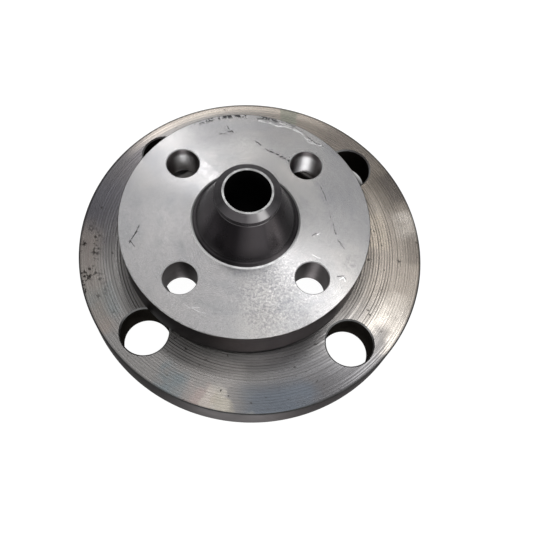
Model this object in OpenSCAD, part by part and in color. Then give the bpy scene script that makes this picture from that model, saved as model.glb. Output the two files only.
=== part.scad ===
/* [Upper weld neck flange] */
// Outside diameter of the upper flange
neck_flange_d = 105; // [98:1:115]
// Thickness of the upper plate, without its raised face
neck_plate_t = 17; // [14:0.5:22]
// Bolt circle diameter of the upper flange
neck_bolt_circle_d = 75; // [72:0.5:80]
// Bolt hole diameter of the upper flange
neck_bolt_hole_d = 14; // [10:0.5:16]
// Diameter of the raised face under the upper plate
neck_face_d = 58; // [50:1:60]
// Height of the raised face under the upper plate
neck_face_h = 2; // [1:0.5:3]

/* [Hub] */
// Height of the hub above the upper plate
hub_h = 23; // [20:0.5:30]
// Diameter of the hub cone where it runs into its root fillet
hub_base_d = 40.4; // [36:0.2:42]
// Radius of the root fillet between hub and plate
hub_fillet_r = 2.75; // [1:0.25:3]
// Outside diameter of the weld end
weld_end_d = 26.4; // [23:0.2:28]
// Bore through the hub and the plate
neck_bore_d = 18.5; // [14:0.5:19]
// Width of the flat land round the bore
land_w = 0.9; // [0.5:0.1:1.5]
// Height of the weld bevel
bevel_h = 1.7; // [1.5:0.1:3]
// Height of the straight band under the weld bevel
weld_band_h = 2.6; // [0.8:0.1:3.2]

/* [Lower flange] */
// Outside diameter of the lower flange
base_flange_d = 150; // [146:1:160]
// Thickness of the lower plate, without its raised face
base_plate_t = 16; // [12:0.5:22]
// Bolt circle diameter of the lower flange
base_bolt_circle_d = 120.7; // [118:0.1:124]
// Bolt hole diameter of the lower flange
base_bolt_hole_d = 20; // [16:0.5:21]
// Diameter of the raised face on the lower plate
base_face_d = 92; // [88:1:94]
// Height of the raised face on the lower plate
base_face_h = 2; // [1:0.5:3]
// Bore through the lower flange
base_bore_d = 84; // [76:0.5:86]

/* [How the upper flange lies on the lower one] */
// Sideways offset of the upper flange
stack_x = -3.9; // [-4.5:0.1:4.5]
// Front-to-back offset of the upper flange
stack_y = 2.5; // [-3:0.1:3]
// Turn of the upper flange against the lower one
stack_turn = 3.7; // [-15:0.1:15]

/* [Hidden] */
$fn = 96;

hole_count = 4;
first_hole_angle = 45;
rim_chamfer = 0.3;
base_rim_chamfer = 0.6;
hole_chamfer = 0.35;
base_hole_chamfer = 0.6;
bore_chamfer = 0.5;
cut_over = 1;
fillet_steps = 8;

neck_r = neck_flange_d / 2;
neck_face_r = neck_face_d / 2;
neck_bore_r = neck_bore_d / 2;
plate_top = neck_face_h + neck_plate_t;
neck_top = plate_top + hub_h;
weld_r = weld_end_d / 2;
land_r = neck_bore_r + land_w;
bevel_z = neck_top - bevel_h;
cone_top_z = bevel_z - weld_band_h;
hub_base_r = hub_base_d / 2;
fillet_top_z = plate_top + hub_fillet_r;

base_r = base_flange_d / 2;
base_face_r = base_face_d / 2;
base_bore_r = base_bore_d / 2;
base_top = base_plate_t + base_face_h;
stack_z = base_top - neck_face_h;

// Points of the root fillet, from the cone down to the plate
function root_fillet() = [
    for (i = [0 : fillet_steps])
        let (a = 180 + 90 * i / fillet_steps)
        [
            hub_base_r + hub_fillet_r * (1 + cos(a)),
            fillet_top_z + hub_fillet_r * sin(a)
        ]
];

// Half section of the upper flange: raised face, plate, fillet, cone, weld end and bore
module neck_section() {
    polygon(concat(
        [
            [neck_bore_r, bore_chamfer],
            [neck_bore_r + bore_chamfer, 0],
            [neck_face_r, 0],
            [neck_face_r, neck_face_h],
            [neck_r - rim_chamfer, neck_face_h],
            [neck_r, neck_face_h + rim_chamfer],
            [neck_r, plate_top - rim_chamfer],
            [neck_r - rim_chamfer, plate_top]
        ],
        [for (i = [fillet_steps : -1 : 0]) root_fillet()[i]],
        [
            [weld_r, cone_top_z],
            [weld_r, bevel_z],
            [land_r, neck_top],
            [neck_bore_r, neck_top]
        ]
    ));
}

// Half section of the lower flange: plate, raised face and bore
module base_section() {
    polygon([
        [base_bore_r + bore_chamfer, 0],
        [base_r - base_rim_chamfer, 0],
        [base_r, base_rim_chamfer],
        [base_r, base_plate_t - base_rim_chamfer],
        [base_r - base_rim_chamfer, base_plate_t],
        [base_face_r, base_plate_t],
        [base_face_r, base_top],
        [base_bore_r + bore_chamfer, base_top],
        [base_bore_r, base_top - bore_chamfer],
        [base_bore_r, bore_chamfer]
    ]);
}

// One bolt hole with broken edges, between two faces of a plate
module bolt_hole(d, low_z, high_z, chamfer) {
    translate([0, 0, low_z - cut_over])
        cylinder(h = high_z - low_z + 2 * cut_over, d = d);
    translate([0, 0, low_z - cut_over])
        cylinder(h = cut_over + chamfer, d1 = d + 2 * (chamfer + cut_over), d2 = d);
    translate([0, 0, high_z - chamfer])
        cylinder(h = cut_over + chamfer, d1 = d, d2 = d + 2 * (chamfer + cut_over));
}

// A ring of bolt holes on a bolt circle
module bolt_circle(circle_d, hole_d, low_z, high_z, chamfer) {
    for (i = [0 : hole_count - 1])
        rotate([0, 0, first_hole_angle + i * 360 / hole_count])
            translate([circle_d / 2, 0, 0])
                bolt_hole(hole_d, low_z, high_z, chamfer);
}

// The upper flange: one forging with its hub pointing up
module weld_neck_flange() {
    color("silver")
        translate([stack_x, stack_y, stack_z])
            rotate([0, 0, stack_turn])
                difference() {
                    rotate_extrude() neck_section();
                    bolt_circle(neck_bolt_circle_d, neck_bolt_hole_d, neck_face_h, plate_top, hole_chamfer);
                }
}

// The larger flange it lies on, turned face up
module lower_flange() {
    color("gray")
        difference() {
            rotate_extrude() base_section();
            bolt_circle(base_bolt_circle_d, base_bolt_hole_d, 0, base_plate_t, base_hole_chamfer);
        }
}

weld_neck_flange();
lower_flange();
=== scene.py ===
import math
import random

import bmesh
import bpy
from mathutils import Matrix, Vector


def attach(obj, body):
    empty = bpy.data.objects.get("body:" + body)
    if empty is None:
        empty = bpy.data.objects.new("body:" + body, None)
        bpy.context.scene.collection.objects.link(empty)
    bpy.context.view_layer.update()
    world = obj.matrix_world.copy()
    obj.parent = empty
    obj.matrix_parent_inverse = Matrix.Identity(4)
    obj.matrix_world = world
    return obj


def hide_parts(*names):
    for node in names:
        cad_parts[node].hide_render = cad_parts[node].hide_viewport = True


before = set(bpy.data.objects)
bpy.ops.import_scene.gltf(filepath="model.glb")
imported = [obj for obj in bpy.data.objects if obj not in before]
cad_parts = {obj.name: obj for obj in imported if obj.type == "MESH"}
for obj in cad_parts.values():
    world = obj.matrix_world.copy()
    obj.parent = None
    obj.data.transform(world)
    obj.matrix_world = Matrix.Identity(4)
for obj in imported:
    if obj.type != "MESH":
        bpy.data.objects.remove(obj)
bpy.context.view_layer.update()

MM = 0.001
LATHE_STEPS = 360
HOLE_STEPS = 96
SHARP_EDGE = math.radians(22)
# How far a hole's cutter stands out above and below the plate, in mm
CUT_OVER = 3.0

# Sizes of the two flanges, in mm, as in the CAD part
STACK = Vector((-3.9, 2.5, 16.0))
STACK_TURN = math.radians(3.7)
HOLE_COUNT = 4
FIRST_HOLE = math.radians(45)
BORE_CHAMFER = 0.5

NECK_R = 52.5
NECK_RIM_CHAMFER = 0.3
NECK_FACE_R = 29.0
NECK_FACE_H = 2.0
NECK_PLATE_TOP = 19.0
NECK_TOP = 42.0
NECK_BORE_R = 9.25
NECK_HOLE_R = 7.0
NECK_HOLE_CHAMFER = 0.35
NECK_CIRCLE_R = 37.5
LAND_R = 10.15
WELD_R = 13.2
BEVEL_Z = 40.3
CONE_TOP_Z = 37.7
HUB_BASE_R = 20.2
FILLET_R = 2.75

BASE_R = 75.0
BASE_RIM_CHAMFER = 0.6
BASE_PLATE_TOP = 16.0
BASE_FACE_R = 46.0
BASE_TOP = 18.0
BASE_BORE_R = 42.0
BASE_HOLE_R = 10.0
BASE_HOLE_CHAMFER = 0.6
BASE_CIRCLE_R = 60.35

# Feed marks that the lathe tool left on the ring
FEED_START = 46.6
FEED_PITCH = 1.2
FEED_DEPTH = 0.022
FEED_MARGIN = 1.2
FEED_SEED = 7


# ---------------------------------------------------------------- mesh tools

def arc(cx, cz, r, a0, a1, steps):
    """Points of an arc in the half section, angles in degrees."""
    out = []
    for i in range(steps + 1):
        a = math.radians(a0 + (a1 - a0) * i / steps)
        out.append((cx + r * math.cos(a), cz + r * math.sin(a)))
    return out


def spin(section, steps, closed):
    """A solid turned from a half section of (r, z, zone) points.

    A point's zone is that of the band to the next point. An open section gets a flat cap at each end,
    in the zone of its first point."""
    bm = bmesh.new()
    rings = []
    for r, z, _ in section:
        ring = []
        for i in range(steps):
            a = 2 * math.pi * i / steps
            ring.append(bm.verts.new((r * math.cos(a), r * math.sin(a), z)))
        rings.append(ring)
    for k in range(len(section) if closed else len(section) - 1):
        here, after, zone = rings[k], rings[(k + 1) % len(section)], section[k][2]
        for i in range(steps):
            j = (i + 1) % steps
            f = bm.faces.new((here[i], here[j], after[j], after[i]))
            f.material_index = zone
            f.smooth = True
    if not closed:
        for ring in (rings[0], rings[-1]):
            bm.faces.new(ring).material_index = section[0][2]
    bmesh.ops.recalc_face_normals(bm, faces=bm.faces)
    return bm


def hole_tool(r, low, high, chamfer, wall_zone, rim_zone):
    """The body cut away by one bolt hole with broken edges."""
    section = [
        (r + chamfer + CUT_OVER, low - CUT_OVER, rim_zone),
        (r, low + chamfer, wall_zone),
        (r, high - chamfer, rim_zone),
        (r + chamfer + CUT_OVER, high + CUT_OVER, rim_zone),
    ]
    return spin(section, HOLE_STEPS, closed=False)


def ring_of_tools(circle_r, hole, materials):
    """One hole tool for each bolt hole on a bolt circle."""
    tools = []
    for k in range(HOLE_COUNT):
        a = FIRST_HOLE + k * 2 * math.pi / HOLE_COUNT
        tool = to_object(hole_tool(*hole), "tool", materials)
        tool.data.transform(Matrix.Translation((circle_r * math.cos(a), circle_r * math.sin(a), 0)))
        tools.append(tool)
    return tools


def add_object(data, name):
    o = bpy.data.objects.new(name, data)
    bpy.context.scene.collection.objects.link(o)
    return o


def to_object(bm, name, materials):
    mesh = bpy.data.meshes.new(name)
    bm.to_mesh(mesh)
    bm.free()
    for m in materials:
        mesh.materials.append(m)
    return add_object(mesh, name)


def cut(target, tools):
    """Cuts the tools out of the target and applies the result to its mesh."""
    for tool in tools:
        mod = target.modifiers.new("cut", "BOOLEAN")
        mod.operation = "DIFFERENCE"
        mod.solver = "EXACT"
        mod.object = tool
    bpy.context.view_layer.update()
    dg = bpy.context.evaluated_depsgraph_get()
    mesh = bpy.data.meshes.new_from_object(target.evaluated_get(dg))
    target.modifiers.clear()
    target.data = mesh
    for tool in tools:
        bpy.data.objects.remove(tool)


def sharpen(o):
    """Smooth faces with sharp edges where the surface breaks."""
    bm = bmesh.new()
    bm.from_mesh(o.data)
    for f in bm.faces:
        f.smooth = True
    for e in bm.edges:
        if len(e.link_faces) == 2:
            e.smooth = e.calc_face_angle(0.0) < SHARP_EDGE
    bm.to_mesh(o.data)
    bm.free()


# ---------------------------------------------------------------- shader tools

class Graph:
    """A short way to build a node tree; a value is a number, a colour or another node's output."""

    def __init__(self, tree):
        self.tree = tree

    def new(self, kind):
        return self.tree.nodes.new("ShaderNode" + kind)

    def put(self, socket, value):
        if hasattr(value, "is_output"):
            self.tree.links.new(value, socket)
        else:
            socket.default_value = value

    def math(self, op, a, b=None, c=None):
        n = self.new("Math")
        n.operation = op
        for socket, value in zip(n.inputs, (a, b, c)):
            if value is not None:
                self.put(socket, value)
        return n.outputs[0]

    def times(self, first, *others):
        """The product of several values."""
        for value in others:
            first = self.math("MULTIPLY", first, value)
        return first

    def measure(self, op, a, b=None):
        """The length of a vector, or the dot product of two."""
        n = self.new("VectorMath")
        n.operation = op
        self.put(n.inputs[0], a)
        if b is not None:
            self.put(n.inputs[1], b)
        return n.outputs["Value"]

    def spread(self, value, low, high, to_low=0.0, to_high=1.0, smooth=False):
        """Maps low to high on to another range, and holds the ends."""
        n = self.new("MapRange")
        n.interpolation_type = "SMOOTHSTEP" if smooth else "LINEAR"
        for socket, v in zip(n.inputs, (value, low, high, to_low, to_high)):
            self.put(socket, v)
        return n.outputs[0]

    def split(self, vector):
        n = self.new("SeparateXYZ")
        self.put(n.inputs[0], vector)
        return n.outputs

    def join(self, x, y, z):
        n = self.new("CombineXYZ")
        for socket, v in zip(n.inputs, (x, y, z)):
            self.put(socket, v)
        return n.outputs[0]

    def mix(self, fac, a, b):
        n = self.new("Mix")
        n.data_type = "RGBA"
        for index, v in ((0, fac), (6, a), (7, b)):
            self.put(n.inputs[index], v)
        return n.outputs[2]


class Steel(Graph):
    """A steel material under construction, in the object's own coordinates."""

    def __init__(self, name):
        self.mat = bpy.data.materials.new(name)
        self.mat.use_nodes = True
        self.mat.node_tree.nodes.clear()
        super().__init__(self.mat.node_tree)
        self.bsdf = self.new("BsdfPrincipled")
        self.put(self.new("OutputMaterial").inputs[0], self.bsdf.outputs[0])
        self.coord = self.new("TexCoord").outputs["Object"]
        self.shared = None

    def noise(self, scale, detail=3.0, rough=0.5, vector=None):
        n = self.new("TexNoise")
        n.inputs["Scale"].default_value = scale
        n.inputs["Detail"].default_value = detail
        n.inputs["Roughness"].default_value = rough
        self.put(n.inputs["Vector"], self.coord if vector is None else vector)
        return n.outputs["Fac"]

    def stretched(self, *axes, detail=3.0, rough=0.7):
        """Noise over three coordinates, each a number or a (value, scale) pair."""
        parts = [self.math("MULTIPLY", *axis) if isinstance(axis, tuple) else axis for axis in axes]
        return self.noise(1.0, detail, rough, self.join(*parts))

    def round_axis(self, cx=0.0, cy=0.0):
        """x, y, radius, angle and height about an upright axis at a point in mm, in metres and radians."""
        x, y, z = self.split(self.coord)
        x = self.math("SUBTRACT", x, cx * MM)
        y = self.math("SUBTRACT", y, cy * MM)
        r = self.math("SQRT", self.math("ADD", self.math("MULTIPLY", x, x), self.math("MULTIPLY", y, y)))
        return x, y, r, self.math("ARCTAN2", y, x), z

    def flat(self):
        """Place across a flat face and a slow wander, made once per material."""
        if self.shared is None:
            x, y, _ = self.split(self.coord)
            self.shared = x, y, self.math("SUBTRACT", self.noise(160.0, 3.0), 0.5)
        return self.shared

    def sector(self, x, y, r, middle, inner, outer):
        """1 within inner degrees of a direction round the axis, 0 from outer degrees on."""
        c, s = math.cos(math.radians(middle)), math.sin(math.radians(middle))
        along = self.math("DIVIDE", self.math("MULTIPLY_ADD", x, c, self.math("MULTIPLY", y, s)), r)
        return self.spread(along, math.cos(math.radians(outer)), math.cos(math.radians(inner)), smooth=True)

    def blob(self, cx, cy, inner, outer):
        """A soft-edged uneven patch round a point in mm on a flat face."""
        _, _, r, _, _ = self.round_axis(cx, cy)
        ragged = self.times(self.math("SUBTRACT", self.noise(140.0, 4.0, 0.6), 0.5), 0.9 * outer * MM)
        return self.spread(self.math("ADD", r, ragged), outer * MM, inner * MM, smooth=True)

    def scratch(self, points, width, wobble):
        """A mask of a thin mark along a broken line of points in mm on a flat face."""
        x, y, wander = self.flat()
        x = self.math("MULTIPLY_ADD", wander, wobble * MM, x)
        y = self.math("MULTIPLY_ADD", wander, wobble * MM, y)
        best = None
        for (ax, ay), (bx, by) in zip(points, points[1:]):
            length = math.hypot(bx - ax, by - ay)
            ux, uy = (bx - ax) / length, (by - ay) / length
            mx, my = 0.5 * (ax + bx) * MM, 0.5 * (ay + by) * MM
            along = self.math("MULTIPLY_ADD", x, ux, self.math("MULTIPLY_ADD", y, uy, -(mx * ux + my * uy)))
            across = self.math("MULTIPLY_ADD", x, -uy, self.math("MULTIPLY_ADD", y, ux, mx * uy - my * ux))
            past = self.math("SUBTRACT", self.math("ABSOLUTE", along), 0.5 * length * MM)
            past = self.math("MAXIMUM", past, 0.0)
            d2 = self.math("MULTIPLY_ADD", past, past, self.math("MULTIPLY", across, across))
            best = d2 if best is None else self.math("MINIMUM", best, d2)
        return self.spread(best, (0.35 * width * MM) ** 2, (width * MM) ** 2, 1.0, 0.0, smooth=True)

    def highest(self, masks):
        best = None
        for mask in masks:
            best = mask if best is None else self.math("MAXIMUM", best, mask)
        return best

    def bump(self, height, strength, distance):
        n = self.new("Bump")
        n.inputs["Strength"].default_value = strength
        n.inputs["Distance"].default_value = distance
        self.put(n.inputs["Height"], height)
        return n.outputs[0]

    def finish(self, color, rough, normal, metallic=1.0, anisotropic=0.0):
        """Sets the shader; an anisotropic surface was turned round the Z axis."""
        inputs = self.bsdf.inputs
        self.put(inputs["Base Color"], color)
        self.put(inputs["Roughness"], rough)
        self.put(inputs["Normal"], normal)
        inputs["Metallic"].default_value = metallic
        inputs["Anisotropic"].default_value = anisotropic
        if anisotropic:
            inputs["Anisotropic Rotation"].default_value = 0.25
            tangent = self.new("Tangent")
            tangent.direction_type = "RADIAL"
            tangent.axis = "Z"
            self.put(inputs["Tangent"], tangent.outputs[0])
        return self.mat


def grey(v, warm=0.0):
    return (v * (1 + warm), v, v * (1 - warm), 1.0)


# ---------------------------------------------------------------- materials

# Marks on the upper plate, in mm: points of each, width and how far it wanders
DARK_SCRATCHES = (
    ([(-47.0, -3.2), (-48.4, -7.4), (-50.2, -11.9)], 0.28, 0.8),
    ([(-47.6, -6.4), (-50.4, -11.2)], 0.22, 0.5),
    ([(-49.9, -10.9), (-48.0, -13.4)], 0.22, 0.5),
    ([(27.4, 20.5), (29.0, 16.0), (30.6, 11.5), (31.6, 5.0)], 0.15, 1.2),
    ([(31.6, 5.0), (33.0, 1.6), (33.9, -1.1)], 0.22, 1.4),
    ([(33.6, 0.4), (34.0, -1.6)], 0.42, 0.6),
    ([(35.6, -5.0), (37.0, -6.6)], 0.20, 0.8),
    ([(34.4, -21.0), (36.9, -20.6), (38.0, -22.2)], 0.24, 0.6),
    ([(39.9, -27.2), (37.6, -30.2)], 0.50, 1.4),
    ([(23.0, -3.8), (25.8, -2.0)], 0.18, 0.6),
    ([(-14.4, 48.6), (-13.0, 44.8)], 0.22, 2.0),
    ([(-17.8, 43.4), (-15.2, 43.9)], 0.34, 2.4),
    ([(-14.2, 44.9), (-12.6, 45.3), (-10.8, 44.0)], 0.34, 2.4),
    ([(-1.5, 41.3), (0.8, 39.4)], 0.42, 1.0),
    ([(2.6, 37.4), (5.0, 36.3), (8.4, 34.9)], 0.52, 2.2),
    ([(9.4, 33.9), (11.6, 33.6), (13.6, 32.0)], 0.60, 2.2),
    ([(11.0, 51.0), (18.6, 47.6), (24.0, 43.6), (28.4, 41.2)], 0.24, 2.6),
    ([(34.6, -4.2), (38.0, -9.4)], 0.13, 0.8),
    ([(-22.0, -8.0), (-14.5, -6.6)], 0.16, 0.8),
)
BRIGHT_SCRATCHES = (
    ([(-0.6, 52.0), (9.2, 50.0), (18.3, 46.6), (22.8, 43.0), (27.7, 41.6)], 0.42, 3.4),
    ([(8.0, 51.6), (14.0, 49.6), (20.0, 45.2), (25.2, 42.9)], 0.24, 3.0),
    ([(35.4, -22.4), (36.9, -21.2), (37.7, -22.9)], 0.28, 0.8),
    ([(26.0, -2.6), (27.2, -2.0)], 0.28, 0.4),
    ([(40.4, -27.6), (38.2, -30.6)], 0.30, 1.4),
    ([(-24.5, -38.4), (-20.0, -37.6)], 0.3, 1.2),
    ([(-26.0, -37.2), (-17.5, -40.2)], 0.18, 1.4),
    ([(24.0, -12.0), (27.5, -13.4)], 0.15, 0.8),
)
# A painted highlight on the upper plate, a light radial band along its sheen: points, width and how far it
# wanders
SHEEN_BAND = ([(-27.5, 31.5), (-17.0, 19.5)], 3.2, 3.0)

# Patches on the upper plate, in mm: middle, full radius and outer radius
DULL_PATCHES = (
    (5.0, -41.0, 2.0, 10.0),
    (23.0, -42.0, 1.0, 7.0),
    (-14.0, 44.8, 0.5, 4.0),
    (40.0, -14.4, 1.0, 6.0),
)
ETCHED_PATCH = (10.0, -30.0, 5.0, 26.0)

# Tints on the lower ring, with painted highlights and painted shade among them: direction, half width inner
# and outer in degrees, radii in metres where it starts and where it is full, colour and amount
RING_TINTS_AND_PAINTED_LIGHT = (
    (155, 14, 30, 0.056, 0.061, (0.115, 0.115, 0.130, 1), 0.50),
    # painted shade on the inner part of the back
    (96, 22, 46, 0.066, 0.058, (0.21, 0.19, 0.17, 1), 0.50),
    # painted highlight at the back
    (100, 26, 48, 0.0695, 0.0725, (0.74, 0.66, 0.58, 1), 0.75),
    # painted highlight at the front right
    (331, 4, 13, 0.056, 0.064, (0.93, 0.86, 0.78, 1), 0.90),
    # painted shade at the front right
    (292, 10, 26, 0.060, 0.069, (0.095, 0.092, 0.098, 1), 0.50),
    # painted light at the right
    (3, 14, 30, 0.052, 0.056, (0.74, 0.66, 0.58, 1), 0.62),
    (218, 16, 36, 0.052, 0.056, (0.64, 0.62, 0.61, 1), 0.50),
    (255, 6, 16, 0.052, 0.056, (0.66, 0.62, 0.60, 1), 0.50),
    (272, 6, 15, 0.058, 0.066, (0.10, 0.095, 0.10, 1), 0.28),
    (28, 5, 14, 0.060, 0.066, (0.20, 0.175, 0.15, 1), 0.45),
    # painted highlight at the right
    (13, 2, 7, 0.063, 0.069, (0.97, 0.90, 0.82, 1), 0.65),
    (11, 3, 10, 0.064, 0.058, (0.88, 0.77, 0.63, 1), 0.45),
    (2, 2, 8, 0.066, 0.071, (0.22, 0.195, 0.175, 1), 0.45),
    (27, 2, 8, 0.066, 0.070, (0.10, 0.09, 0.09, 1), 0.50),
    (207, 2, 8, 0.060, 0.066, (0.28, 0.38, 0.40, 1), 0.32),
    (212, 1, 7, 0.066, 0.071, (0.66, 0.50, 0.40, 1), 0.32),
    (246, 2, 7, 0.059, 0.066, (0.24, 0.35, 0.40, 1), 0.50),
    (253, 1, 6, 0.059, 0.066, (0.70, 0.54, 0.50, 1), 0.50),
    (261, 1, 5, 0.062, 0.067, (0.78, 0.73, 0.66, 1), 0.60),
    (267, 1, 5, 0.065, 0.070, (0.56, 0.51, 0.40, 1), 0.40),
    (280, 5, 16, 0.060, 0.068, (0.16, 0.20, 0.25, 1), 0.50),
    (77, 1, 4, 0.066, 0.068, (0.30, 0.33, 0.27, 1), 0.60),
    (70, 1, 4, 0.064, 0.068, (0.90, 0.80, 0.66, 1), 0.60),
    # painted shade on the inner part of the back left
    (136, 10, 28, 0.058, 0.066, (0.20, 0.185, 0.175, 1), 0.38),
    (52, 6, 16, 0.060, 0.068, (0.20, 0.180, 0.170, 1), 0.42),
)


def plate_face_steel():
    """The machined top of the upper plate: satin, faintly mottled, with scratches, scuffs, painted shade and
    painted highlights.
    """
    n = Steel("upper_face_steel")
    x, y, r, a, _ = n.round_axis(STACK.x, STACK.y)
    cloud = n.noise(22.0, 4.0, 0.55)
    fine = n.noise(5200.0, 2.0, 0.7)
    grain = n.noise(1300.0, 3.0, 0.65)
    turned = n.stretched((r, 1500.0), (a, 0.6), 0.0, detail=4.0)

    # Broad light and dark areas, with painted shade at the back rim and painted light at the front left
    base = n.mix(n.spread(cloud, 0.34, 0.66), (0.462, 0.457, 0.468, 1), (0.612, 0.596, 0.582, 1))
    base = n.mix(n.spread(n.noise(48.0, 3.0, 0.6), 0.50, 0.70, 0.0, 0.45), base, (0.66, 0.628, 0.600, 1))
    # Painted shade on the back rim of the plate
    painted_back_shade = n.times(n.sector(x, y, r, 95, 14, 40), n.spread(r, 0.034, 0.044, smooth=True))
    base = n.mix(n.times(painted_back_shade, 0.32), base, (0.20, 0.20, 0.21, 1))
    # Painted light over the front left of the plate
    base = n.mix(n.times(n.sector(x, y, r, 218, 22, 56), 0.50), base, (0.80, 0.78, 0.79, 1))
    etched = n.blob(*ETCHED_PATCH)
    speckle = n.noise(1050.0, 2.0, 0.8)
    base = n.mix(n.times(etched, n.spread(speckle, 0.48, 0.62, 0.0, 0.62)), base, (0.25, 0.25, 0.27, 1))
    base = n.mix(n.times(etched, n.spread(speckle, 0.46, 0.34, 0.0, 0.50)), base, (0.90, 0.885, 0.88, 1))

    # Grain and turning marks
    drift = n.stretched((r, 90.0), (a, 1.6), 5.0, rough=0.6)
    base = n.mix(n.spread(drift, 0.50, 0.68, 0.0, 0.35), base, (0.33, 0.345, 0.375, 1))
    base = n.mix(n.spread(grain, 0.42, 0.66, 0.0, 0.28), base, (0.30, 0.30, 0.31, 1))
    base = n.mix(n.spread(turned, 0.3, 0.8, 0.0, 0.12), base, (0.30, 0.30, 0.31, 1))
    base = n.mix(n.spread(fine, 0.5, 0.75, 0.0, 0.20), base, (0.26, 0.26, 0.27, 1))

    # Dull patches, grime on the back rim and a painted highlight band
    dull = n.highest(n.blob(*patch) for patch in DULL_PATCHES)
    mottle = n.spread(n.noise(800.0, 3.0, 0.7), 0.42, 0.66)
    base = n.mix(n.times(dull, n.times(mottle, 0.5)), base, (0.20, 0.20, 0.21, 1))
    specks = n.times(n.sector(x, y, r, 94, 20, 30), n.spread(r, 0.0500, 0.0512))
    specks = n.times(specks, n.spread(n.noise(420.0, 4.0, 0.7), 0.50, 0.53), 0.9)
    base = n.mix(specks, base, (0.035, 0.035, 0.038, 1))
    # Painted highlight: a light radial band along the sheen
    sheen_band = n.times(n.scratch(*SHEEN_BAND), n.spread(n.noise(260.0, 3.0), 0.40, 0.60, 0.15, 0.5))
    base = n.mix(sheen_band, base, (0.78, 0.76, 0.77, 1))

    dark = n.highest(n.scratch(*mark) for mark in DARK_SCRATCHES)
    dark = n.times(dark, n.spread(n.noise(620.0, 2.0), 0.43, 0.52, 0.16, 0.97))
    bright = n.highest(n.scratch(*mark) for mark in BRIGHT_SCRATCHES)
    bright = n.times(bright, n.spread(n.noise(500.0, 2.0), 0.36, 0.52, 0.1, 0.95))
    base = n.mix(dark, base, (0.05, 0.048, 0.05, 1))
    base = n.mix(bright, base, (0.86, 0.86, 0.86, 1))

    rough = n.math("ADD", n.spread(cloud, 0.3, 0.7, 0.04, -0.02), n.spread(fine, 0.42, 0.62, 0.22, 0.42))
    relief = n.math("MULTIPLY_ADD", n.math("ADD", grain, turned), 0.02, cloud)
    return n.finish(base, rough, n.bump(relief, 1.0, 0.00008), anisotropic=0.93)


def turned_side_steel(
    name, low, high, tint, rough=0.42, lines=1400.0, lined=0.25, centre=(0.0, 0.0), painted_light_and_shade=(), foot_shade=None,
):
    """A turned cylinder or cone, with fine lines round its axis.

    Painted highlights and painted shade round the axis are each (direction, inner, outer, colour, amount).
    The painted shade at the foot is (low, high, amount) and fades out between two heights in mm."""
    n = Steel(name)
    x, y, r, a, z = n.round_axis(*centre)
    line = n.stretched((z, lines), (r, lines), 0.0)
    cloud = n.noise(60.0, 4.0, 0.6)
    streak = n.stretched((a, 7.0), (z, 12.0), 0.0, detail=2.0, rough=0.6)
    base = n.mix(n.spread(cloud, 0.3, 0.7), low, high)
    base = n.mix(n.spread(streak, 0.35, 0.65, 0.0, 0.35), base, tint)
    base = n.mix(n.spread(line, 0.35, 0.7, 0.0, lined), base, tint)
    # Painted highlights and painted shade by direction round the axis
    for middle, inner, outer, color, amount in painted_light_and_shade:
        base = n.mix(n.times(n.sector(x, y, r, middle, inner, outer), amount), base, color)
    # Painted shade that darkens the foot
    if foot_shade:
        base = n.mix(n.spread(z, foot_shade[0] * MM, foot_shade[1] * MM, foot_shade[2], 0.0, smooth=True), base, grey(0.02))
    rough = n.spread(cloud, 0.3, 0.7, rough + 0.06, rough - 0.06)
    return n.finish(base, rough, n.bump(line, 0.25, 0.00008), anisotropic=0.3)


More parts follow.
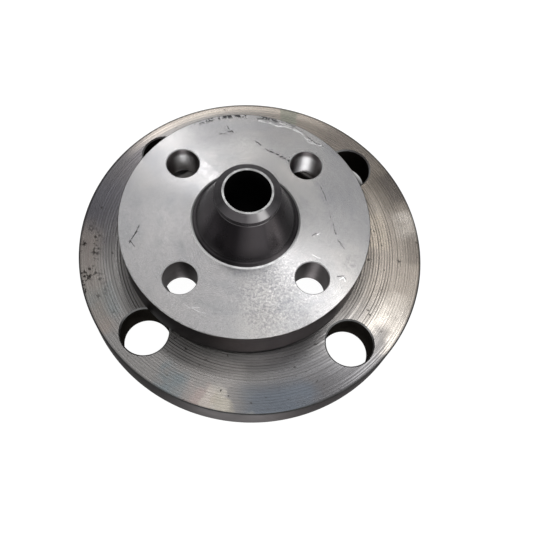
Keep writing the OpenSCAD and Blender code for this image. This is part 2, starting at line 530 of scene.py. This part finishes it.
def turned_face_steel():
    """The faced ring of the lower flange: dark feed marks, heat tint, pits and stains, with painted
    highlights and painted shade.
    """
    n = Steel("lower_face_steel")
    x, y, r, a, _ = n.round_axis()
    uneven = n.stretched((r, 700.0), (a, 0.9), 1.0, rough=0.6)
    fine = n.stretched((r, 2600.0), (a, 0.5), 3.0)
    cloud = n.noise(26.0, 4.0, 0.6)
    base = n.mix(n.spread(cloud, 0.3, 0.7), (0.285, 0.275, 0.268, 1), (0.430, 0.415, 0.400, 1))

    # Warm to the right, cool at the back left, with painted shade at the front right
    warm = n.spread(n.math("ADD", x, n.times(y, 0.5)), 0.005, 0.065, 0.0, 0.75, smooth=True)
    base = n.mix(warm, base, (0.40, 0.345, 0.29, 1))
    cool = n.spread(n.math("SUBTRACT", n.times(y, 0.55), x), 0.045, 0.078, 0.0, 0.85, smooth=True)
    cool = n.times(cool, n.spread(y, 0.040, 0.062, 1.0, 0.0, smooth=True))
    base = n.mix(cool, base, (0.150, 0.143, 0.166, 1))
    front = n.spread(y, -0.02, -0.055, smooth=True)
    painted_shade = n.times(front, n.spread(x, -0.015, 0.02, 0.0, 0.8, smooth=True))
    base = n.mix(painted_shade, base, (0.165, 0.165, 0.175, 1))

    # Smaller tints, painted highlights and painted shade, with ragged edges
    ragged = n.times(n.math("SUBTRACT", n.noise(60.0, 3.0, 0.55), 0.5), 0.005)
    wx = n.math("ADD", x, ragged)
    wy = n.math("SUBTRACT", y, ragged)
    for middle, inner, outer, near, far, color, amount in RING_TINTS_AND_PAINTED_LIGHT:
        mask = n.times(n.sector(wx, wy, r, middle, inner, outer), n.spread(r, near, far, smooth=True))
        base = n.mix(n.times(mask, amount), base, color)

    # Feed marks, strongest at the front left and at the right
    wander = n.times(n.math("SUBTRACT", n.noise(9.0, 1.0), 0.5), 0.25)
    turns = n.math("DIVIDE", n.math("SUBTRACT", r, FEED_START * MM), FEED_PITCH * MM)
    turns = n.math("FRACT", n.math("ADD", n.math("ADD", turns, wander), 0.5))
    mark = n.math("ABSOLUTE", n.math("SUBTRACT", turns, 0.5))
    strong = n.math("MAXIMUM", n.sector(x, y, r, 208, 25, 55), n.sector(x, y, r, 3, 22, 45))
    depth = n.times(n.spread(uneven, 0.36, 0.58, 0.1, 1.0), n.spread(r, 0.054, 0.073, 1.0, 0.35, smooth=True))
    depth = n.times(depth, n.spread(strong, 0.0, 1.0, 0.55, 1.0))
    base = n.mix(n.times(n.spread(mark, 0.20, 0.08), depth), base, (0.030, 0.027, 0.026, 1))
    hair = n.times(n.spread(fine, 0.45, 0.75), n.spread(strong, 0.0, 1.0, 0.28, 0.52))
    base = n.mix(hair, base, (0.085, 0.078, 0.075, 1))

    # A rusty patch at the left rim, and pits all over
    patch = n.times(n.sector(wx, wy, r, 191, 7, 19), n.spread(r, 0.0625, 0.0695, smooth=True))
    base = n.mix(n.times(patch, 0.45), base, (0.46, 0.40, 0.35, 1))
    rust = n.spread(n.noise(640.0, 4.0, 0.65), 0.525, 0.55)
    rust = n.times(rust, n.spread(n.noise(130.0, 3.0), 0.46, 0.52), patch, 0.95)
    base = n.mix(rust, base, (0.022, 0.018, 0.016, 1))
    pits = n.spread(n.noise(420.0, 2.0, 0.6), 0.69, 0.72)
    base = n.mix(n.times(pits, 0.8), base, (0.03, 0.026, 0.024, 1))

    rough = n.math("ADD", n.spread(cloud, 0.3, 0.7, 0.03, -0.03), n.spread(fine, 0.35, 0.65, 0.18, 0.36))
    return n.finish(base, rough, n.bump(fine, 0.2, 0.00008), anisotropic=0.92)


def plain_turned_face(name, low, high):
    """A faced surface that sees little light: raised faces and undersides."""
    n = Steel(name)
    _, _, r, a, _ = n.round_axis()
    line = n.stretched((r, 2400.0), (a, 0.5), 0.0, rough=0.6)
    cloud = n.noise(40.0, 4.0, 0.6)
    base = n.mix(n.spread(cloud, 0.3, 0.7), low, high)
    base = n.mix(n.spread(line, 0.4, 0.75, 0.0, 0.4), base, grey(0.12, 0.04))
    return n.finish(base, n.spread(cloud, 0.3, 0.7, 0.45, 0.36), n.bump(line, 0.3, 0.0001), anisotropic=0.4)


def drilled_steel(name, low, high, painted_shade=False, highlight_colour=None):
    """The wall of a drilled hole: dark, with drill lines round it and oil stains, or black without shine as
    painted shade.

    With a highlight colour, the wall of each of the upper plate's back holes carries a painted highlight in
    that colour at its back and front, below the mouth."""
    n = Steel(name)
    x, y, z = n.split(n.coord)
    line = n.stretched((z, 1800.0), (x, 40.0), (y, 40.0))
    base = n.mix(n.spread(n.noise(120.0, 4.0, 0.6), 0.3, 0.7), low, high)
    # Painted highlight on the walls of the upper plate's back holes
    if highlight_colour:
        reach = NECK_CIRCLE_R * math.cos(FIRST_HOLE)
        swing = NECK_CIRCLE_R * math.sin(FIRST_HOLE) * math.sin(STACK_TURN)
        from_middle = n.math("ABSOLUTE", n.math("SUBTRACT", x, (STACK.x - swing) * MM))
        from_hole = n.math("ABSOLUTE", n.math("SUBTRACT", from_middle, reach * math.cos(STACK_TURN) * MM))
        painted_highlight = n.times(n.spread(y, 0.005, 0.015), n.spread(z, 0.0325, 0.0295, smooth=True))
        base = n.mix(n.times(painted_highlight, n.spread(from_hole, 0.0056, 0.003, smooth=True)), base, highlight_colour)
    # Painted shade: a black wall without shine
    if painted_shade:
        n.bsdf.inputs["Specular IOR Level"].default_value = 0.0
    rough = n.spread(line, 0.3, 0.7, 0.30, 0.46)
    return n.finish(base, rough, n.bump(line, 0.3, 0.0001), metallic=0.0 if painted_shade else 1.0)


def root_fillet_steel():
    """The fillet at the hub's root, with a painted highlight on its front half."""
    n = Steel("fillet_steel")
    x, y, r, _, _ = n.round_axis(STACK.x, STACK.y)
    worn = n.noise(260.0, 3.0, 0.6)
    painted_highlight = n.mix(n.spread(worn, 0.35, 0.65), grey(0.80), grey(0.97))
    # Painted highlight on the front half of the fillet
    base = n.mix(n.sector(x, y, r, 262, 45, 95), grey(0.22), painted_highlight)
    return n.finish(base, n.spread(worn, 0.35, 0.65, 0.42, 0.32), n.bump(worn, 0.2, 0.00008))


def plate_rim_steel():
    """The broken edge of the upper plate: dark, with a painted highlight at its front left."""
    n = Steel("upper_edge_steel")
    x, y, r, _, _ = n.round_axis(STACK.x, STACK.y)
    worn = n.noise(260.0, 3.0, 0.6)
    # Painted highlight along the front left of the edge
    painted_highlight = n.times(n.sector(x, y, r, 226, 18, 38), n.spread(worn, 0.38, 0.55, 0.5, 1.0))
    darker_edge = n.mix(n.spread(worn, 0.35, 0.65), grey(0.07, 0.06), grey(0.16, 0.06))
    base = n.mix(painted_highlight, darker_edge, grey(0.95))
    return n.finish(base, n.spread(worn, 0.35, 0.65, 0.40, 0.30), n.bump(worn, 0.2, 0.00008))


def bright_edge(name, value, rough):
    """A chamfer or land, worn bright."""
    n = Steel(name)
    worn = n.noise(260.0, 3.0, 0.6)
    base = n.mix(n.spread(worn, 0.35, 0.65), grey(value * 0.72), grey(value))
    return n.finish(base, n.spread(worn, 0.35, 0.65, rough + 0.08, rough), n.bump(worn, 0.2, 0.00008))


stack_axis = (STACK.x, STACK.y)
upper_materials = [
    plate_face_steel(),
    plate_rim_steel(),
    turned_side_steel(
        "upper_side_steel", (0.26, 0.225, 0.228, 1), (0.36, 0.315, 0.318, 1), (0.18, 0.155, 0.158, 1),
        # painted shadow along the foot of the side, where it meets the lower flange
        centre=stack_axis, foot_shade=(18.0, 20.5, 0.9),
        # painted shade at the front left and at the right front
        painted_light_and_shade=(
            (222, 30, 58, (0.016, 0.012, 0.014, 1), 0.95),
            (322, 10, 34, (0.10, 0.085, 0.087, 1), 0.7),
        ),
    ),
    plain_turned_face("upper_under_steel", grey(0.26), grey(0.36)),
    drilled_steel(
        # painted highlight on the walls of the back holes
        "upper_hole_steel", (0.18, 0.160, 0.164, 1), (0.32, 0.29, 0.294, 1), highlight_colour=(0.98, 0.97, 0.98, 1),
    ),
    turned_side_steel(
        "hub_steel", (0.078, 0.070, 0.077, 1), (0.102, 0.092, 0.100, 1), (0.058, 0.052, 0.057, 1),
        # painted shade low on the hub, near the plate
        rough=0.28, lines=500.0, centre=stack_axis, foot_shade=(36.0, 45.0, 0.5),
        # painted highlights at the left and right front, painted shade at the front left and at the right
        painted_light_and_shade=(
            (180, 12, 36, (0.42, 0.39, 0.41, 1), 0.42),
            (240, 8, 30, (0.030, 0.026, 0.029, 1), 0.75),
            (299, 12, 42, (0.215, 0.196, 0.206, 1), 0.75),
            (313, 2, 13, (0.37, 0.335, 0.345, 1), 0.45),
            (338, 3, 13, (0.035, 0.031, 0.033, 1), 0.5),
        ),
    ),
    root_fillet_steel(),
    turned_side_steel(
        "bevel_steel", (0.12, 0.112, 0.120, 1), (0.165, 0.155, 0.165, 1), grey(0.06),
        rough=0.32, lines=2400.0, lined=0.55, centre=stack_axis,
        # painted highlights on the front and right front of the bevel
        painted_light_and_shade=(
            (268, 18, 60, (0.30, 0.28, 0.295, 1), 0.6),
            (290, 4, 22, (0.58, 0.56, 0.57, 1), 0.6),
            (302, 1, 13, (0.95, 0.93, 0.93, 1), 0.5),
        ),
    ),
    bright_edge("land_steel", 0.42, 0.28),
    # painted shade: a black bore
    drilled_steel("bore_steel", grey(0.004), grey(0.008), painted_shade=True),
    bright_edge("upper_hole_edge_steel", 0.85, 0.5),
]
FACE, EDGE, SIDE, UNDER, HOLE, HUB, FILLET, BEVEL, LAND, BORE, HOLE_LIP = range(len(upper_materials))

lower_materials = [
    turned_face_steel(),
    bright_edge("lower_edge_steel", 0.10, 0.4),
    turned_side_steel(
        "lower_side_steel", (0.185, 0.165, 0.167, 1), (0.245, 0.220, 0.222, 1), (0.110, 0.096, 0.098, 1),
        # painted shade at the front left of the side
        painted_light_and_shade=((249, 17, 34, (0.035, 0.030, 0.031, 1), 0.6),),
    ),
    plain_turned_face("lower_under_steel", grey(0.20, 0.04), grey(0.30, 0.04)),
    # painted shade: black walls in the big holes
    drilled_steel("lower_hole_steel", grey(0.010, 0.15), grey(0.022, 0.15), painted_shade=True),
    bright_edge("lower_hole_edge_steel", 0.34, 0.34),
]
RING, RIM, OUTER, BACK, DRILLED, HOLE_EDGE = range(len(lower_materials))


# ---------------------------------------------------------------- upper flange

def hub_cone(steps):
    """Points up the hub's cone, between its root fillet and its straight band."""
    foot_z = NECK_PLATE_TOP + FILLET_R
    out = []
    for i in range(1, steps):
        t = i / steps
        out.append((HUB_BASE_R + (WELD_R - HUB_BASE_R) * t, foot_z + (CONE_TOP_Z - foot_z) * t, HUB))
    return out


# Points within 0.4 mm of a corner only round it off, and only the first two bands of the fillet carry the
# painted highlight
section = [
    (NECK_BORE_R, BORE_CHAMFER, UNDER),
    (NECK_BORE_R + BORE_CHAMFER, 0.0, UNDER),
    (NECK_FACE_R, 0.0, UNDER),
    (NECK_FACE_R, NECK_FACE_H, UNDER),
    (NECK_R - NECK_RIM_CHAMFER, NECK_FACE_H, EDGE),
    (NECK_R, NECK_FACE_H + NECK_RIM_CHAMFER, SIDE),
    (NECK_R, NECK_PLATE_TOP - NECK_RIM_CHAMFER, EDGE),
    (NECK_R - 0.08, NECK_PLATE_TOP - 0.09, EDGE),
    (NECK_R - NECK_RIM_CHAMFER, NECK_PLATE_TOP, FACE),
    (HUB_BASE_R + FILLET_R + 8.0, NECK_PLATE_TOP, FACE),
]
fillet = arc(HUB_BASE_R + FILLET_R, NECK_PLATE_TOP + FILLET_R, FILLET_R, 270, 180, 10)
section += [(r, z, FILLET if i < 2 else HUB) for i, (r, z) in enumerate(fillet)]
section += hub_cone(8)
section += [
    # A narrow band at the top of the cone takes the bevel's steel and its painted highlights
    (WELD_R + 0.15, CONE_TOP_Z - 0.35, BEVEL),
    (WELD_R, CONE_TOP_Z, HUB),
    (WELD_R, BEVEL_Z - 0.1, BEVEL),
    (WELD_R - 0.08, BEVEL_Z + 0.05, BEVEL),
    (LAND_R + 0.06, NECK_TOP - 0.08, LAND),
    (LAND_R, NECK_TOP, LAND),
    (NECK_BORE_R + 0.1, NECK_TOP, LAND),
    (NECK_BORE_R, NECK_TOP - 0.1, BORE),
]
upper = to_object(spin(section, LATHE_STEPS, closed=True), "weld_neck_flange_steel", upper_materials)
neck_hole = (NECK_HOLE_R, NECK_FACE_H, NECK_PLATE_TOP, NECK_HOLE_CHAMFER, HOLE, HOLE_LIP)
cut(upper, ring_of_tools(NECK_CIRCLE_R, neck_hole, upper_materials))
sharpen(upper)
place = Matrix.Scale(MM, 4) @ Matrix.Translation(STACK) @ Matrix.Rotation(STACK_TURN, 4, "Z")
upper.data.transform(place)
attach(upper, "weld_neck_flange")
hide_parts("weld_neck_flange")


# ---------------------------------------------------------------- lower flange

def feed_marks(end, z, zone, seed):
    """Points across the faced ring, from its rim inwards, with a real groove for each turn of the tool."""
    rng = random.Random(seed)
    out = []
    for k in range(int((end - FEED_START) / FEED_PITCH), -1, -1):
        r = FEED_START + k * FEED_PITCH
        out.append((r + 0.5 * FEED_PITCH, z, zone))
        out.append((r, z - FEED_DEPTH * (0.4 + 0.6 * rng.random()), zone))
    return out


section = [
    (BASE_BORE_R + BORE_CHAMFER, 0.0, BACK),
    (BASE_R - BASE_RIM_CHAMFER, 0.0, RIM),
    (BASE_R, BASE_RIM_CHAMFER, OUTER),
    (BASE_R, BASE_PLATE_TOP - BASE_RIM_CHAMFER, RIM),
    (BASE_R - 0.15, BASE_PLATE_TOP - 0.18, RIM),
    (BASE_R - BASE_RIM_CHAMFER, BASE_PLATE_TOP, RING),
]
section += feed_marks(BASE_R - FEED_MARGIN, BASE_PLATE_TOP, RING, FEED_SEED)
section += [
    (BASE_FACE_R, BASE_PLATE_TOP, BACK),
    (BASE_FACE_R, BASE_TOP, BACK),
    (BASE_BORE_R + BORE_CHAMFER, BASE_TOP, RIM),
    (BASE_BORE_R, BASE_TOP - BORE_CHAMFER, DRILLED),
    (BASE_BORE_R, BORE_CHAMFER, RIM),
]
lower = to_object(spin(section, LATHE_STEPS, closed=True), "lower_flange_steel", lower_materials)
base_hole = (BASE_HOLE_R, 0.0, BASE_PLATE_TOP, BASE_HOLE_CHAMFER, DRILLED, HOLE_EDGE)
cut(lower, ring_of_tools(BASE_CIRCLE_R, base_hole, lower_materials))
sharpen(lower)
lower.data.transform(Matrix.Scale(MM, 4))
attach(lower, "lower_flange")
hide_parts("lower_flange")


# ---------------------------------------------------------------- floor and backdrop

scene = bpy.context.scene
scene.view_settings.view_transform = "Standard"

# The floor is a hair under the flange, so that the two never show through each other
FLOOR_Z = -0.05 * MM
FLOOR_HALF = 3
PALE_GLOW = 0.98
BACKDROP_R = 2.9
# The painted shadow on the floor, in metres: it fades out between two radii, and towards the front between
# two y
PAINTED_SHADOW_RADII = (0.068, 0.073)
PAINTED_SHADOW_FRONT = (0.020, 0.0)


def pale_surface(name):
    """A matt white that glows by itself, so that light and shade hardly show on it."""
    mat = bpy.data.materials.new(name)
    mat.use_nodes = True
    inputs = mat.node_tree.nodes["Principled BSDF"].inputs
    inputs["Base Color"].default_value = (0.22, 0.22, 0.22, 1)
    inputs["Roughness"].default_value = 0.9
    inputs["Specular IOR Level"].default_value = 0.0
    inputs["Emission Color"].default_value = (1.0, 1.0, 1.0, 1)
    inputs["Emission Strength"].default_value = PALE_GLOW
    return mat


def floor_surface():
    """The pale surface, with a painted shadow under the back of the stack, and see-through from below."""
    mat = pale_surface("floor_pale")
    g = Graph(mat.node_tree)
    bsdf = g.tree.nodes["Principled BSDF"]
    coord = g.new("TexCoord").outputs["Object"]
    # Painted shadow: the glow fades out under the back of the stack
    outside = g.spread(g.measure("LENGTH", coord), *PAINTED_SHADOW_RADII, 0.0, PALE_GLOW)
    front = g.spread(g.split(coord)[1], *PAINTED_SHADOW_FRONT, 0.0, PALE_GLOW)
    g.put(bsdf.inputs["Emission Strength"], g.math("MAXIMUM", outside, front))
    see_through = g.new("MixShader")
    g.put(see_through.inputs[0], g.new("NewGeometry").outputs["Backfacing"])
    g.put(see_through.inputs[1], bsdf.outputs[0])
    g.put(see_through.inputs[2], g.new("BsdfTransparent").outputs[0])
    g.put(g.tree.nodes["Material Output"].inputs[0], see_through.outputs[0])
    return mat


floor_mesh = bpy.data.meshes.new("floor")
corners = [(x * FLOOR_HALF, y * FLOOR_HALF, FLOOR_Z) for x, y in ((-1, -1), (1, -1), (1, 1), (-1, 1))]
floor_mesh.from_pydata(corners, [], [(0, 1, 2, 3)])
floor_mesh.materials.append(floor_surface())
floor = add_object(floor_mesh, "floor")
floor.visible_glossy = False

# A white backdrop round the floor, that neither lights the steel nor shows in it
bm = bmesh.new()
bmesh.ops.create_uvsphere(bm, u_segments=64, v_segments=32, radius=BACKDROP_R)
backdrop = to_object(bm, "backdrop", [pale_surface("backdrop_pale")])
backdrop.visible_glossy = False
backdrop.visible_diffuse = False
backdrop.visible_transmission = False
backdrop.visible_shadow = False


# ---------------------------------------------------------------- light and camera

# Brightness of the sky from straight down (0) to straight up (1)
SKY_STOPS = (
    (0.0, 0.20), (0.25, 0.14), (0.35, 0.15), (0.44, 0.42), (0.52, 0.55),
    (0.66, 0.48), (0.74, 0.26), (0.80, 0.20), (0.9, 0.30), (1.0, 0.32),
)
# Soft round glows in the sky: direction, degrees off it where the glow starts to fade and ends, strength
SKY_GLOWS = (
    ((0.66, -0.25, 0.70), 8, 32, 0.55),
    ((0.55, -0.80, 0.10), 5, 40, 0.16),
    ((-0.05, -0.62, -0.78), 6, 24, 1.3),
    ((0.05, -0.12, 0.99), 4, 16, 1.2),
    ((-0.82, -0.48, 0.32), 6, 24, 0.9),
)

world = bpy.data.worlds.new("studio")
scene.world = world
world.use_nodes = True
world.node_tree.nodes.clear()
sky = Graph(world.node_tree)
sky_direction = sky.new("TexCoord").outputs["Generated"]
sky_ramp = sky.new("ValToRGB")
sky.put(sky_ramp.inputs[0], sky.math("MULTIPLY_ADD", sky.split(sky_direction)[2], 0.5, 0.5))
stops = sky_ramp.color_ramp.elements
while len(stops) < len(SKY_STOPS):
    stops.new(0.5)
for stop, (at, value) in zip(stops, SKY_STOPS):
    stop.position = at
    stop.color = (value, value, value * 1.02, 1)
glow = None
for direction, inner, outer, strength in SKY_GLOWS:
    off = sky.measure("DOT_PRODUCT", sky_direction, Vector(direction).normalized())
    fades, full = math.cos(math.radians(outer)), math.cos(math.radians(inner))
    soft = sky.spread(off, fades, full, 0.0, strength, smooth=True)
    glow = soft if glow is None else sky.math("ADD", glow, soft)
background = sky.new("Background")
sky.put(background.inputs[0], sky.math("ADD", sky_ramp.outputs[0], glow))
sky.put(sky.new("OutputWorld").inputs[0], background.outputs[0])


def soft_light(name, spot, target, along, size, power):
    """A rectangular lamp that faces a target, with its long side along a direction."""
    data = bpy.data.lights.new(name, "AREA")
    data.shape = "RECTANGLE"
    data.size, data.size_y = size
    data.energy = power
    o = add_object(data, name)
    back = (Vector(spot) - Vector(target)).normalized()
    across = (Vector(along) - back * Vector(along).dot(back)).normalized()
    side = back.cross(across)
    o.matrix_world = Matrix.Translation(spot) @ Matrix((across, side, back)).transposed().to_4x4()


soft_light("strip", (0.052, 0.496, 1.08), (0, 0, 0.03), (0.675, -0.738, 0), (0.90, 0.12), 1.35)

# The camera as fitted to the photo, its place in mm
CAMERA_PLACE = Vector((-5.96, -130.22, 285.52))
CAMERA_RIGHT = Vector((0.9965, 0.0340, 0.0759))
CAMERA_LOOK = Vector((0.0552, 0.3958, -0.9167))
LENS = 44.46
SENSOR = 36.0

cam_data = bpy.data.cameras.new("camera")
cam_data.lens = LENS
cam_data.sensor_width = SENSOR
cam_data.clip_start = 0.01
cam = add_object(cam_data, "camera")
right = CAMERA_RIGHT.normalized()
look = CAMERA_LOOK.normalized()
up = right.cross(look).normalized()
right = look.cross(up).normalized()
turn = Matrix((right, up, -look)).transposed().to_4x4()
cam.matrix_world = Matrix.Translation(CAMERA_PLACE * MM) @ turn
scene.camera = cam
